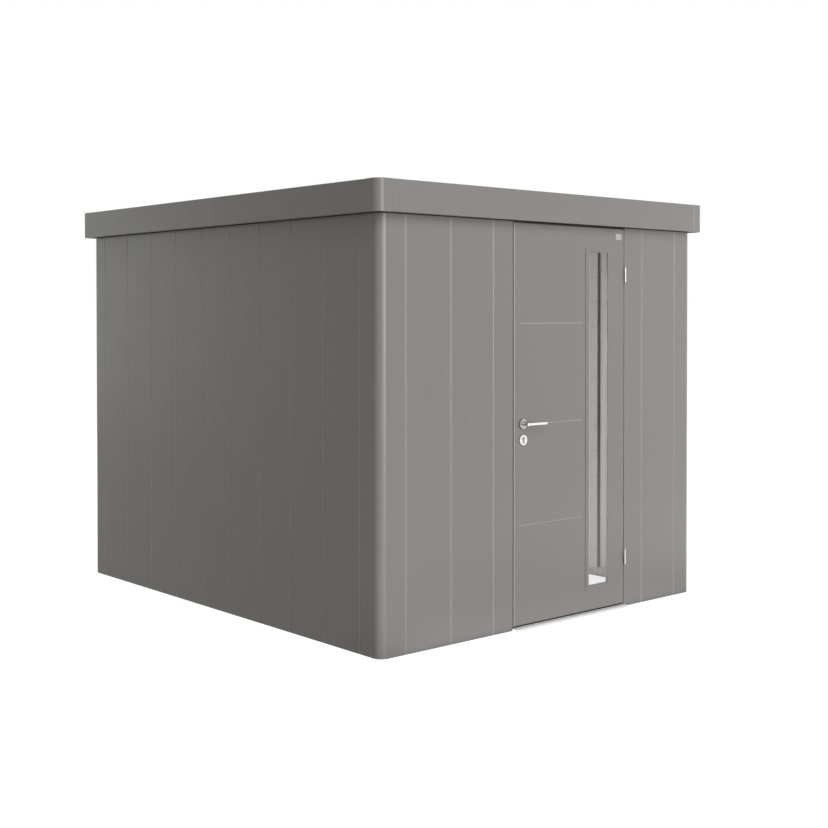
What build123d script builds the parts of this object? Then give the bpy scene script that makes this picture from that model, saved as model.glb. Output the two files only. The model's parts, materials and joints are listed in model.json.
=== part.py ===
from build123d import *
import math
import os

os.makedirs("parts", exist_ok=True)

# A flat-roofed garden tool shed of folded steel sheet, millimetres.
# The origin is on the ground under the middle of the shed.
# +X runs to the right along the front, +Y runs from the front to the back, +Z is up.

# Driving dimensions of the shell
PANEL_PITCH = 280.0
CORNER_LEG = 151.0
FRONT_PANELS = 7
SIDE_PANELS = 9
HEIGHT = 2205.0
FASCIA_HEIGHT = 152.0
ROOF_OVERHANG = 49.0
WALL_TOP = 2100.0

# Folded sheet: the real sheet is under 1 mm, drawn thicker so that each piece is a sound solid
SHEET = 2.0
BEND = 5.0
WIDE_BEND = 10.0
PANEL_DEPTH = 38.0
LIP = 28.0
SEAM = 0.6
CORNER_RADIUS = 48.0
ROOF_CORNER_RADIUS = 45.0

WALL_WIDTH = 2 * CORNER_LEG + FRONT_PANELS * PANEL_PITCH
WALL_LENGTH = 2 * CORNER_LEG + SIDE_PANELS * PANEL_PITCH
HALF_W = WALL_WIDTH / 2
HALF_L = WALL_LENGTH / 2

# Door opening in the front wall, X from the middle of the shed
OPENING_LEFT = -283.0
OPENING_RIGHT = 559.0
DOOR_GAP = 6.0
CLOSING_GAP = 7.0
LEAF_LEFT = OPENING_LEFT + CLOSING_GAP
LEAF_RIGHT = OPENING_RIGHT - DOOR_GAP
LEAF_BOTTOM = 18.0
LEAF_TOP = 2046.0
LEAF_THICKNESS = 32.0
HEAD_BOTTOM = LEAF_TOP + DOOR_GAP

# Frame behind the front wall
RAIL_LEG = 48.0
RAIL_FOOT = 26.0
POST_WIDTH = 55.0
POST_DEPTH = 40.0
POST_OVERLAP = 25.0
FRAME_TOP = WALL_TOP - RAIL_LEG
HEAD_RAIL_BOTTOM = LEAF_TOP - 16.0
ANCHOR_RADIUS = 5.5
ANCHOR_Y = 1200.0

# Threshold
THRESHOLD_HEIGHT = 12.0
THRESHOLD_NOSE = 28.0
THRESHOLD_WALL = 3.0
NOSE_CHAMFER = 5.0
TREAD_GROOVES = 3
TREAD_PITCH = 9.0
TREAD_GROOVE_WIDTH = 4.0
TREAD_GROOVE_DEPTH = 1.0

# Light strip in the door
STRIP_LEFT = 273.0
STRIP_RIGHT = 420.0
STRIP_BOTTOM = 152.0
STRIP_TOP = 1914.5
SLEEVE_WALL = 6.0
BACK_MARGIN = 26.0
TRIM_WIDTH = 25.0
TRIM_PROUD = 2.5
GLASS_DEPTH = 4.5
GLASS_THICKNESS = 4.0
GLASS_PLAY = 2.0

# Pressed lines across the door
LINE_HEIGHTS = (523.0, 1032.0, 1541.0)
LINE_LEFT = -231.0
LINE_RIGHT = 223.0
LINE_WIDTH = 8.0
LINE_DEPTH = 2.6

# Lever and lock
LOCK_X = -217.0
LEVER_Z = 1034.0
LOCK_Z = 953.0
LOCK_MIDDLE = (LEVER_Z + LOCK_Z) / 2
ROSETTE_RADIUS = 25.5
ROSETTE_THICKNESS = 8.0
NECK_RADIUS = 7.0
RUNNING_GAP = 0.3
LEVER_REACH = 131.0
LEVER_PROUD = 48.0
LEVER_HEIGHT = 13.0
LEVER_THICKNESS = 9.0
LEVER_EDGE = 1.5
LEVER_TURN = 6.5
SPINDLE_WIDTH = 8.0
SPINDLE_HOLE_RADIUS = 6.5
PLUG_RADIUS = 8.5
PLUG_RISE = 8.0
CYLINDER_WIDTH = 10.0
CYLINDER_DROP = 16.5
CYLINDER_PROUD = 3.0
KEY_SLOT_WIDTH = 2.4
KEY_SLOT_HEIGHT = 9.0
KEY_SLOT_DEPTH = 4.0
FACEPLATE_HALF_HEIGHT = 118.0
FACEPLATE_HALF_WIDTH = 10.0
STRIKE_HALF_HEIGHT = 80.0
STRIKE_HALF_WIDTH = 11.0
STRIKE_THICKNESS = 1.0
STRIKE_SLOT_WIDTH = 12.0
STRIKE_SLOT_HEIGHT = 30.0

# Hinges
HINGE_X = 556.0
HINGE_PROUD = 7.5
HINGE_RADIUS = 5.5
HINGE_PIN_RADIUS = 3.0
HINGE_PIN_CLEARANCE = 0.1
HINGE_HALF = 39.5
HINGE_PLAY = 1.0
HINGE_WING_END = 26.0
HINGE_BOTTOMS = (232.0, 1759.0)

# Bare plate near the top of the door
PLATE_LEFT = 484.0
PLATE_RIGHT = 530.0
PLATE_BOTTOM = 1986.0
PLATE_TOP = 2018.0
PLATE_THICKNESS = 1.5
PLATE_CORNER = 3.0

# Roof
FASCIA_BOTTOM = HEIGHT - FASCIA_HEIGHT
FASCIA_SEAM_Y = -20.0
CAP_LEG = 88.0
CAP_CHAMFER = 1.6
FASCIA_LIP = 16.0
FASCIA_TOP_WIDTH = 52.0
FASCIA_INNER_LEG = 40.0
ROOF_FALL = 40.0
ROOF_FRONT_Z = 2168.0
DECK_SHEET = 1.2
DECK_EDGE = 6.0
RIB_HEIGHT = 20.0
RIB_HALF_FOOT = 34.0
RIB_HALF_CROWN = 18.0
RIBS_PER_SHEET = 4
SHEET_COUNT = 3
RAFTER_WIDTH = 32.0
RAFTER_SETBACK = 4.0
PURLIN_DEPTH = 22.0
PURLIN_WIDTH = 34.0
PURLIN_SHARES = (0.25, 0.5, 0.75)
GUTTER_WIDTH = 60.0
GUTTER_DEPTH = 20.0
GUTTER_BACK_GAP = 5.0

SIDES = {"front": 0, "right": 90, "back": 180, "left": 270}
FROM_BASE = (Align.CENTER, Align.CENTER, Align.MIN)


def on_wall(shape, side):
    """Stand a shape, drawn with y as depth behind the outer face, on one wall."""
    distance = HALF_L if side in ("front", "back") else HALF_W
    return Rot(0, 0, SIDES[side]) * Pos(0, -distance, 0) * shape


def folded_section(points, radii):
    """Section of a folded sheet: its middle line, and the outer radius of each bend.

    A radius of 0 leaves a bend sharp. Only a wide bend is rounded on the inside too.
    """
    middle = [Vector(*point) for point in points]
    runs = [(after - before).normalized() for before, after in zip(middle, middle[1:])]
    left, right, left_radii, right_radii = [], [], [], []
    for index, point in enumerate(middle):
        run_in = runs[max(index - 1, 0)]
        run_out = runs[min(index, len(runs) - 1)]
        normal_in = Vector(-run_in.Y, run_in.X)
        normal_out = Vector(-run_out.Y, run_out.X)
        mitre = (normal_in + normal_out) * (SHEET / 2 / (1 + normal_in.dot(normal_out)))
        outer = radii[index - 1] if 0 < index < len(middle) - 1 else 0
        inner = outer - SHEET if outer > WIDE_BEND else 0
        turns_left = run_in.cross(run_out).Z > 0
        left.append(point + mitre)
        right.append(point - mitre)
        left_radii.append(inner if turns_left else outer)
        right_radii.append(outer if turns_left else inner)
    outline = left + right[::-1]
    return make_face(FilletPolyline(*outline, radius=left_radii + right_radii[::-1], close=True))


def folded_upright(points, radii, top):
    """Folded sheet standing on the ground: the section is drawn in plan."""
    return extrude(folded_section(points, radii), top)


def folded_run(points, radii, start, end):
    """Folded sheet lying along X: the section is drawn in depth and height."""
    section = Plane.YZ * folded_section(points, radii)
    return Pos(start, 0, 0) * extrude(section, end - start)


def block(x0, x1, y0, y1, z0, z1):
    """Box between two corners."""
    return Pos((x0 + x1) / 2, (y0 + y1) / 2, (z0 + z1) / 2) * Box(x1 - x0, y1 - y0, z1 - z0)


def save(node, *solids):
    """Write one named piece, or several loose solids of one kind, as a STEP file."""
    shape = solids[0] if len(solids) == 1 else Compound(children=list(solids))
    shape.label = node
    export_step(shape, f"parts/{node}.step")


# Wall panels are trays folded from sheet: a face, two flanges and two lips
def wall_panel(x0, x1):
    half = SHEET / 2
    left = x0 + half
    right = x1 - half
    lip_depth = PANEL_DEPTH - half
    points = [
        (left + LIP, lip_depth),
        (left, lip_depth),
        (left, half),
        (right, half),
        (right, lip_depth),
        (right - LIP, lip_depth),
    ]
    return folded_upright(points, (0, BEND, BEND, 0), WALL_TOP)


def panel_row(count, half_length):
    """Full panels between the two corner posts of a wall."""
    first = -half_length + CORNER_LEG
    panels = []
    for index in range(count):
        x0 = first + index * PANEL_PITCH
        panels.append(wall_panel(x0 + SEAM / 2, x0 + PANEL_PITCH - SEAM / 2))
    return panels


# Corner posts wrap the corner in one sheet, with a flange and a lip at each end
def corner_post():
    half = SHEET / 2
    leg = CORNER_LEG - SEAM / 2 - half
    lip_depth = PANEL_DEPTH - half
    points = [
        (leg - LIP, lip_depth),
        (leg, lip_depth),
        (leg, half),
        (half, half),
        (half, leg),
        (lip_depth, leg),
        (lip_depth, leg - LIP),
    ]
    return folded_upright(points, (0, BEND, CORNER_RADIUS, BEND, 0), WALL_TOP)


POST_PLACES = {
    "corner_post_front_left": (-HALF_W, -HALF_L, 0),
    "corner_post_front_right": (HALF_W, -HALF_L, 90),
    "corner_post_back_right": (HALF_W, HALF_L, 180),
    "corner_post_back_left": (-HALF_W, HALF_L, 270),
}
post = corner_post()
for node, (x, y, turn) in POST_PLACES.items():
    save(node, Pos(x, y, 0) * Rot(0, 0, turn) * post)

for side, count, half_length in (
    ("left", SIDE_PANELS, HALF_L),
    ("right", SIDE_PANELS, HALF_L),
    ("back", FRONT_PANELS, HALF_W),
):
    row = [on_wall(panel, side) for panel in panel_row(count, half_length)]
    save(f"{side}_wall_panels", *row)

# Front wall: two and a half panels left of the door, one and a half right of it
front_joints = [-HALF_W + CORNER_LEG + index * PANEL_PITCH for index in range(FRONT_PANELS + 1)]
left_edges = front_joints[:3] + [OPENING_LEFT + SEAM / 2]
right_edges = [OPENING_RIGHT - SEAM / 2] + front_joints[6:]
for node, edges in (("front_panels_left", left_edges), ("front_panels_right", right_edges)):
    row = []
    for x0, x1 in zip(edges, edges[1:]):
        row.append(on_wall(wall_panel(x0 + SEAM / 2, x1 - SEAM / 2), "front"))
    save(node, *row)


# Strip of wall over the door, folded back under itself above the leaf
def door_head_panel():
    half = SHEET / 2
    points = [
        (PANEL_DEPTH - half, HEAD_BOTTOM + LIP / 2),
        (PANEL_DEPTH - half, HEAD_BOTTOM + half),
        (half, HEAD_BOTTOM + half),
        (half, WALL_TOP),
    ]
    return folded_run(points, (0, BEND), OPENING_LEFT + SEAM, OPENING_RIGHT - SEAM)


save("door_head_panel", on_wall(door_head_panel(), "front"))


# Base rails are angles: an upright leg behind the panel lips and a foot on the ground
def base_rail(start, end, anchors=()):
    upright = block(start, end, PANEL_DEPTH, PANEL_DEPTH + SHEET, 0, RAIL_LEG)
    foot = block(start, end, PANEL_DEPTH, PANEL_DEPTH + RAIL_FOOT, 0, SHEET)
    rail = upright + foot
    for x in anchors:
        hole = Cylinder(ANCHOR_RADIUS, 2 * SHEET)
        rail -= Pos(x, PANEL_DEPTH + RAIL_FOOT / 2 + SHEET, SHEET / 2) * hole
    return rail


side_rail_end = HALF_L - PANEL_DEPTH
for side in ("left", "right"):
    rail = base_rail(-side_rail_end, side_rail_end, (-ANCHOR_Y, ANCHOR_Y))
    save(f"base_rail_{side}", on_wall(rail, side))

cross_end = HALF_W - PANEL_DEPTH - RAIL_FOOT
post_outer_left = OPENING_LEFT + POST_OVERLAP - POST_WIDTH
post_outer_right = OPENING_RIGHT - POST_OVERLAP + POST_WIDTH
save("base_rail_back", on_wall(base_rail(-cross_end, cross_end), "back"))
save(
    "base_rail_front",
    on_wall(base_rail(-cross_end, post_outer_left), "front"),
    on_wall(base_rail(post_outer_right, cross_end), "front"),
)


# Door posts and head rail are square tubes that the closed leaf covers
def tube(x0, x1, z0, z1, along):
    y0, y1 = PANEL_DEPTH, PANEL_DEPTH + POST_DEPTH
    outer = block(x0, x1, y0, y1, z0, z1)
    if along == "Z":
        return outer - block(x0 + SHEET, x1 - SHEET, y0 + SHEET, y1 - SHEET, z0, z1)
    return outer - block(x0, x1, y0 + SHEET, y1 - SHEET, z0 + SHEET, z1 - SHEET)


clear_left = OPENING_LEFT + POST_OVERLAP
clear_right = OPENING_RIGHT - POST_OVERLAP
left_post = tube(post_outer_left, clear_left, 0, FRAME_TOP, "Z")
right_post = tube(clear_right, post_outer_right, 0, FRAME_TOP, "Z")
head_rail = tube(clear_left, clear_right, HEAD_RAIL_BOTTOM, FRAME_TOP, "X")
save("door_post_left", on_wall(left_post, "front"))
save("door_post_right", on_wall(right_post, "front"))
save("door_head_rail", on_wall(head_rail, "front"))


# Threshold: an aluminium strip with a bevelled nose, a grooved tread and an open underside
def threshold():
    front = -THRESHOLD_NOSE
    back = PANEL_DEPTH + POST_DEPTH
    underside = THRESHOLD_HEIGHT - THRESHOLD_WALL
    outline = [
        (front, 0),
        (front, THRESHOLD_HEIGHT - NOSE_CHAMFER),
        (front + NOSE_CHAMFER, THRESHOLD_HEIGHT),
        (back, THRESHOLD_HEIGHT),
        (back, 0),
        (back - THRESHOLD_WALL, 0),
        (back - THRESHOLD_WALL, underside),
        (front + THRESHOLD_WALL + NOSE_CHAMFER, underside),
        (front + THRESHOLD_WALL, underside - NOSE_CHAMFER),
        (front + THRESHOLD_WALL, 0),
    ]
    section = make_face(Polyline(*outline, close=True))
    for index in range(TREAD_GROOVES):
        y = front + NOSE_CHAMFER + (index + 0.5) * TREAD_PITCH
        section -= Pos(y, THRESHOLD_HEIGHT) * Rectangle(TREAD_GROOVE_WIDTH, 2 * TREAD_GROOVE_DEPTH)
    strip = extrude(Plane.YZ * section, OPENING_RIGHT - OPENING_LEFT - SEAM)
    strip = Pos(OPENING_LEFT + SEAM / 2, 0, 0) * strip
    for x0, x1 in ((OPENING_LEFT, clear_left + SEAM / 2), (clear_right - SEAM / 2, OPENING_RIGHT)):
        strip -= block(x0, x1, PANEL_DEPTH - SEAM / 2, back + SEAM, -SEAM, THRESHOLD_HEIGHT + SEAM)
    return strip


save("threshold", on_wall(threshold(), "front"))


# Top rails: an upright leg behind the lips and a flange out over the panels to the fascia
def top_rail(leg_end, flange_end):
    inner = PANEL_DEPTH + SHEET
    outer = -ROOF_OVERHANG + SHEET
    leg = block(-leg_end, leg_end, PANEL_DEPTH, inner, FRAME_TOP, WALL_TOP + SHEET)
    flange = block(-flange_end, flange_end, outer, inner, WALL_TOP, WALL_TOP + SHEET)
    return leg + flange


cross_rail_end = HALF_W - PANEL_DEPTH - SHEET - SEAM / 2
cross_rail = top_rail(cross_rail_end, cross_rail_end)
side_rail = top_rail(HALF_L - PANEL_DEPTH - SHEET, HALF_L)
save(
    "top_rails",
    on_wall(cross_rail, "front"),
    on_wall(cross_rail, "back"),
    on_wall(side_rail, "left"),
    on_wall(side_rail, "right"),
)


# Fascia: a channel round the roof edge, with a short lip below and a leg down inside
def fascia(start, end):
    half = SHEET / 2
    face = -ROOF_OVERHANG + half
    inner = -ROOF_OVERHANG + FASCIA_TOP_WIDTH - half
    points = [
        (face + FASCIA_LIP, FASCIA_BOTTOM + half),
        (face, FASCIA_BOTTOM + half),
        (face, HEIGHT - half),
        (inner, HEIGHT - half),
        (inner, HEIGHT - FASCIA_INNER_LEG),
    ]
    return folded_run(points, (BEND, BEND, 0), start, end)


front_end = HALF_W + ROOF_OVERHANG - CAP_LEG - SEAM / 2
side_end = HALF_L + ROOF_OVERHANG - CAP_LEG - SEAM / 2
save("fascia_front", on_wall(fascia(-front_end, front_end), "front"))
save("fascia_back", on_wall(fascia(-front_end, front_end), "back"))
# On the left wall the local x axis runs from the back to the front
for side, direction in (("left", -1), ("right", 1)):
    seam = direction * FASCIA_SEAM_Y
    lengths = ((-side_end, seam - SEAM / 2), (seam + SEAM / 2, side_end))
    save(f"fascia_{side}", *(on_wall(fascia(x0, x1), side) for x0, x1 in lengths))


# Roof corner caps: the fascia channel taken round the corner on a radius
def corner_strip(depth, width):
    """L-shaped strip of the given width, its outer edge this far inside the roof corner."""
    smallest = SHEET / 4
    outer_radius = max(ROOF_CORNER_RADIUS - depth, smallest + 0.1)
    inner_radius = max(ROOF_CORNER_RADIUS - depth - width, smallest)
    reach = CAP_LEG - depth
    plan = Pos(depth + reach / 2, depth + reach / 2) * Rectangle(reach, reach)
    plan = fillet(plan.vertices().sort_by(lambda v: v.X + v.Y)[0], outer_radius)
    rest = reach - width
    if rest > 0:
        middle = depth + width + rest / 2
        notch = Pos(middle, middle) * Rectangle(rest, rest)
        plan -= fillet(notch.vertices().sort_by(lambda v: v.X + v.Y)[0], inner_radius)
    return plan


def roof_corner_cap():
    face = Pos(0, 0, FASCIA_BOTTOM) * extrude(corner_strip(0, SHEET), FASCIA_HEIGHT)
    lip = Pos(0, 0, FASCIA_BOTTOM) * extrude(corner_strip(0, FASCIA_LIP), SHEET)
    rim = Pos(0, 0, HEIGHT - SHEET) * extrude(corner_strip(0, FASCIA_TOP_WIDTH), SHEET)
    leg = extrude(corner_strip(FASCIA_TOP_WIDTH - SHEET, SHEET), FASCIA_INNER_LEG)
    channel = face + lip + rim + Pos(0, 0, HEIGHT - FASCIA_INNER_LEG) * leg
    for level in (channel.edges().group_by(Axis.Z)[0], channel.edges().group_by(Axis.Z)[-1]):
        # The outer bend runs nearest to the roof corner: straight, round the corner, straight
        outer = [edge for edge in level if min(edge.center().X, edge.center().Y) < FASCIA_LIP - 1]
        channel = chamfer(outer, CAP_CHAMFER)
    return channel


CAP_PLACES = {
    "roof_corner_cap_front_left": (-1, -1, 0),
    "roof_corner_cap_front_right": (1, -1, 90),
    "roof_corner_cap_back_right": (1, 1, 180),
    "roof_corner_cap_back_left": (-1, 1, 270),
}
cap = roof_corner_cap()
for node, (side_x, side_y, turn) in CAP_PLACES.items():
    place = Pos(side_x * (HALF_W + ROOF_OVERHANG), side_y * (HALF_L + ROOF_OVERHANG), 0)
    save(node, place * Rot(0, 0, turn) * cap)

# Roof deck: everything here lies on one plane that falls from the front to the back
DECK_START = -HALF_L + DECK_EDGE
DECK_END = HALF_L - GUTTER_WIDTH - 2 * GUTTER_BACK_GAP
DECK_HALF_WIDTH = HALF_W - DECK_EDGE
DECK_RUN = DECK_END - DECK_START
FALL_ANGLE = math.degrees(math.atan2(ROOF_FALL, DECK_RUN))
DECK_LENGTH = math.hypot(DECK_RUN, ROOF_FALL)
deck_plane = Pos(0, DECK_START, ROOF_FRONT_Z) * Rot(-FALL_ANGLE, 0, 0)


def deck_sheet(width):
    """Ribbed roof sheet, its underside on z = 0, running back along +Y."""
    pitch = width / RIBS_PER_SHEET
    line = [(-width / 2, 0)]
    for index in range(RIBS_PER_SHEET):
        middle = (index + 0.5) * pitch - width / 2
        line.append((middle - RIB_HALF_FOOT, 0))
        line.append((middle - RIB_HALF_CROWN, RIB_HEIGHT))
        line.append((middle + RIB_HALF_CROWN, RIB_HEIGHT))
        line.append((middle + RIB_HALF_FOOT, 0))
    line.append((width / 2, 0))
    upper = [(x, z + DECK_SHEET) for x, z in line]
    section = make_face(Polyline(*upper, *reversed(line), close=True))
    return extrude(Plane.XZ * section, -DECK_LENGTH)


sheet_width = 2 * DECK_HALF_WIDTH / SHEET_COUNT
sheets = []
for index in range(SHEET_COUNT):
    x = (index - (SHEET_COUNT - 1) / 2) * sheet_width
    sheets.append(deck_plane * Pos(x, 0, 0) * deck_sheet(sheet_width - SEAM))
save("roof_sheets", *sheets)


# Rafters: tapered edge channels on the side rails that give the deck its fall
def rafter():
    start = DECK_START + RAFTER_SETBACK
    end = DECK_END - RAFTER_SETBACK
    slope = ROOF_FALL / DECK_RUN
    top_start = ROOF_FRONT_Z - slope * RAFTER_SETBACK
    top_end = ROOF_FRONT_Z - slope * (end - DECK_START)
    base = WALL_TOP + SHEET
    side = [(start, base), (end, base), (end, top_end), (start, top_start)]
    hollow = [
        (start - SHEET, base - SHEET),
        (end + SHEET, base - SHEET),
        (end + SHEET, top_end - SHEET),
        (start - SHEET, top_start - SHEET),
    ]
    solid = extrude(Plane.YZ * make_face(Polyline(*side, close=True)), RAFTER_WIDTH)
    inside = extrude(Plane.YZ * make_face(Polyline(*hollow, close=True)), RAFTER_WIDTH)
    return solid - Pos(SHEET, 0, 0) * inside


rafter_left = Pos(-DECK_HALF_WIDTH, 0, 0) * rafter()
rafter_right = mirror(rafter_left, Plane.YZ)
save("roof_rafters", rafter_left, rafter_right)


# Purlins: channels across the shed under the deck, between the rafters
def purlin():
    end = DECK_HALF_WIDTH - RAFTER_WIDTH - SHEET
    half = PURLIN_WIDTH / 2
    bar = block(-end, end, -half, half, -PURLIN_DEPTH, 0)
    return bar - block(-end, end, SHEET - half, half, SHEET - PURLIN_DEPTH, -SHEET)


save("roof_purlins", *(
    deck_plane * Pos(0, share * DECK_LENGTH, 0) * purlin() for share in PURLIN_SHARES
))


# Gutter across the back, under the low end of the deck
def gutter():
    end = HALF_W - PANEL_DEPTH
    back = HALF_L - GUTTER_BACK_GAP
    front = back - GUTTER_WIDTH
    base = WALL_TOP + SHEET
    trough = block(-end, end, front, back, base, base + GUTTER_DEPTH)
    return trough - block(
        SHEET - end, end - SHEET, front + SHEET, back - SHEET, base + SHEET, base + 2 * GUTTER_DEPTH
    )


save("roof_gutter", gutter())


# Door leaf: a front tray and a back pan, with the light strip cut through both
def strip_hole(margin, y0, y1):
    return block(
        STRIP_LEFT - margin, STRIP_RIGHT + margin, y0, y1, STRIP_BOTTOM - margin, STRIP_TOP + margin
    )


def through(sketch, y0, y1):
    """Extrude a sketch drawn on the front elevation from depth y0 to depth y1."""
    return Pos(0, y0, 0) * extrude(Plane.XZ * sketch, -(y1 - y0))


def lock_profile():
    """Outline of a profile cylinder: a round plug with a narrow web below it."""
    plug = Pos(LOCK_X, LOCK_Z + PLUG_RISE) * Circle(PLUG_RADIUS)
    foot_z = LOCK_Z - CYLINDER_DROP + CYLINDER_WIDTH / 2
    web_height = LOCK_Z + PLUG_RISE - foot_z
    web = Pos(LOCK_X, foot_z + web_height / 2) * Rectangle(CYLINDER_WIDTH, web_height)
    foot = Pos(LOCK_X, foot_z) * Circle(CYLINDER_WIDTH / 2)
    return plug + web + foot


def skin_holes(skin, margin):
    """Cut the light strip, the spindle hole and the lock slot through one skin."""
    skin -= strip_hole(margin, -SHEET, LEAF_THICKNESS + SHEET)
    spindle_hole = Pos(LOCK_X, LEVER_Z) * Circle(SPINDLE_HOLE_RADIUS)
    lock_slot = Pos(LOCK_X, LOCK_Z) * Rectangle(2 * PLUG_RADIUS, 2 * CYLINDER_DROP)
    return skin - through(spindle_hole + lock_slot, -SHEET, LEAF_THICKNESS + SHEET)


def faceplate():
    """Lock plate let into the closing edge of the leaf, its bolts drawn back flush."""
    middle = LEAF_THICKNESS / 2
    return block(
        LEAF_LEFT, LEAF_LEFT + SHEET, middle - FACEPLATE_HALF_WIDTH, middle + FACEPLATE_HALF_WIDTH,
        LOCK_MIDDLE - FACEPLATE_HALF_HEIGHT, LOCK_MIDDLE + FACEPLATE_HALF_HEIGHT,
    )


def pressed_line(front, back):
    """V-shaped bar across the door, its open side at depth front and its ridge at depth back."""
    half = LINE_WIDTH / 2
    section = make_face(Polyline((front, -half), (back, 0), (front, half), close=True))
    return Pos(LINE_LEFT, 0, 0) * extrude(Plane.YZ * section, LINE_RIGHT - LINE_LEFT)


def door_front_skin():
    tray = block(LEAF_LEFT, LEAF_RIGHT, 0, LEAF_THICKNESS - SHEET, LEAF_BOTTOM, LEAF_TOP)
    tray = fillet(tray.edges().group_by(Axis.Y)[0], BEND)
    tray -= block(
        LEAF_LEFT + SHEET, LEAF_RIGHT - SHEET, SHEET, LEAF_THICKNESS,
        LEAF_BOTTOM + SHEET, LEAF_TOP - SHEET,
    )
    for height in LINE_HEIGHTS:
        tray += Pos(0, 0, height) * pressed_line(SHEET / 2, LINE_DEPTH + SHEET)
        tray -= Pos(0, 0, height) * pressed_line(-0.1, LINE_DEPTH)
    return skin_holes(tray, SLEEVE_WALL) - faceplate()


def door_back_skin():
    pan = block(
        LEAF_LEFT, LEAF_RIGHT, LEAF_THICKNESS - SHEET, LEAF_THICKNESS, LEAF_BOTTOM, LEAF_TOP
    )
    return skin_holes(pan, BACK_MARGIN + SLEEVE_WALL)


save("door_front_skin", on_wall(door_front_skin(), "front"))
save("door_back_skin", on_wall(door_back_skin(), "front"))
save("lock_faceplate", on_wall(faceplate(), "front"))


# Trim round the light strip: a flat band on each face with a sleeve down to the pane.
# The pane is set from inside, so the opening behind it is wider all round than the one in front.
def strip_trim(margin, face_y, glass_y):
    low, high = min(face_y, glass_y), max(face_y, glass_y)
    band_y = (face_y, 0) if face_y < 0 else (LEAF_THICKNESS, face_y)
    band = strip_hole(margin + TRIM_WIDTH, *band_y)
    sleeve = strip_hole(margin + SLEEVE_WALL, low, high)
    return band + sleeve - strip_hole(margin, low - SHEET, high + SHEET)


glass_back = GLASS_DEPTH + GLASS_THICKNESS
pane = strip_hole(BACK_MARGIN + SLEEVE_WALL - GLASS_PLAY, GLASS_DEPTH, glass_back)
save(
    "window_trims",
    on_wall(strip_trim(0, -TRIM_PROUD, GLASS_DEPTH), "front"),
    on_wall(strip_trim(BACK_MARGIN, LEAF_THICKNESS + TRIM_PROUD, glass_back), "front"),
)
save("window_glass", on_wall(pane, "front"))

# Middle plane of the leaf: the fittings outside are mirrored on it to make those inside
LEAF_MIDDLE = Plane.XZ.offset(-LEAF_THICKNESS / 2)


# Rosettes on both faces of the leaf, under the levers and round the lock
def rosette(z, hole):
    outline = Pos(LOCK_X, z) * Circle(ROSETTE_RADIUS)
    return through(outline - hole, -ROSETTE_THICKNESS, 0)


lever_rosette = rosette(LEVER_Z, Pos(LOCK_X, LEVER_Z) * Circle(NECK_RADIUS + RUNNING_GAP))
lock_rosette = rosette(LOCK_Z, lock_profile())
outer_rosettes = (lever_rosette, lock_rosette)
inner_rosettes = tuple(mirror(plate, LEAF_MIDDLE) for plate in outer_rosettes)
save("door_rosettes", *(on_wall(plate, "front") for plate in outer_rosettes + inner_rosettes))


# Lock cylinder through the leaf, a little proud of both rosettes, with its key slots
def lock_cylinder():
    front = -ROSETTE_THICKNESS - CYLINDER_PROUD
    back = LEAF_THICKNESS - front
    key_slot = Pos(LOCK_X, LOCK_Z + PLUG_RISE) * Rectangle(KEY_SLOT_WIDTH, KEY_SLOT_HEIGHT)
    body = through(lock_profile(), front, back)
    body -= through(key_slot, front - SHEET, front + KEY_SLOT_DEPTH)
    return body - through(key_slot, back - KEY_SLOT_DEPTH, back + SHEET)


save("lock_cylinder", on_wall(lock_cylinder(), "front"))


# Levers: a round neck out of the rosette, turning into a flat bar with broken edges
def lever():
    bar_length = NECK_RADIUS + LEVER_REACH
    bar_middle = LOCK_X - NECK_RADIUS + bar_length / 2
    bar_depth = -LEVER_PROUD + LEVER_THICKNESS / 2
    plan = Pos(bar_middle, bar_depth) * Rectangle(bar_length, LEVER_THICKNESS)
    plan = fillet(plan.vertices().sort_by(lambda v: v.X + v.Y)[0], LEVER_TURN)
    bar = Pos(0, 0, LEVER_Z - LEVER_HEIGHT / 2) * extrude(plan, LEVER_HEIGHT)
    rims = bar.edges().group_by(Axis.Z)[0] + bar.edges().group_by(Axis.Z)[-1]
    bar = chamfer(rims, LEVER_EDGE)
    neck_length = LEVER_PROUD - LEVER_THICKNESS / 2 - SHEET / 2
    neck = Rot(90, 0, 0) * Cylinder(NECK_RADIUS, neck_length, align=FROM_BASE)
    return Pos(LOCK_X, -SHEET / 2, LEVER_Z) * neck + bar


half_spindle = SPINDLE_WIDTH / 2
spindle = block(
    LOCK_X - half_spindle, LOCK_X + half_spindle, -SHEET / 2, LEAF_THICKNESS + SHEET / 2,
    LEVER_Z - half_spindle, LEVER_Z + half_spindle,
)
outer_lever = lever()
inner_lever = mirror(outer_lever, LEAF_MIDDLE) + spindle
save("lever_outer", on_wall(outer_lever, "front"))
save("lever_inner", on_wall(inner_lever, "front"))

# Bare plate riveted near the top of the door
blank_plate = block(PLATE_LEFT, PLATE_RIGHT, -PLATE_THICKNESS, 0, PLATE_BOTTOM, PLATE_TOP)
blank_plate = chamfer(blank_plate.edges().filter_by(Axis.Y), PLATE_CORNER)
save("blank_plate", on_wall(blank_plate, "front"))


# Strike plate on the closing side of the opening, with slots for the latch and the bolt
def strike_plate():
    middle = LEAF_THICKNESS / 2
    strike = block(
        OPENING_LEFT, OPENING_LEFT + STRIKE_THICKNESS,
        middle - STRIKE_HALF_WIDTH, middle + STRIKE_HALF_WIDTH,
        LOCK_MIDDLE - STRIKE_HALF_HEIGHT, LOCK_MIDDLE + STRIKE_HALF_HEIGHT,
    )
    for height in (LEVER_Z, LOCK_Z):
        slot = Box(4 * STRIKE_THICKNESS, STRIKE_SLOT_WIDTH, STRIKE_SLOT_HEIGHT)
        strike -= Pos(OPENING_LEFT, middle, height) * slot
    return strike


save("strike_plate", on_wall(strike_plate(), "front"))


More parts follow.
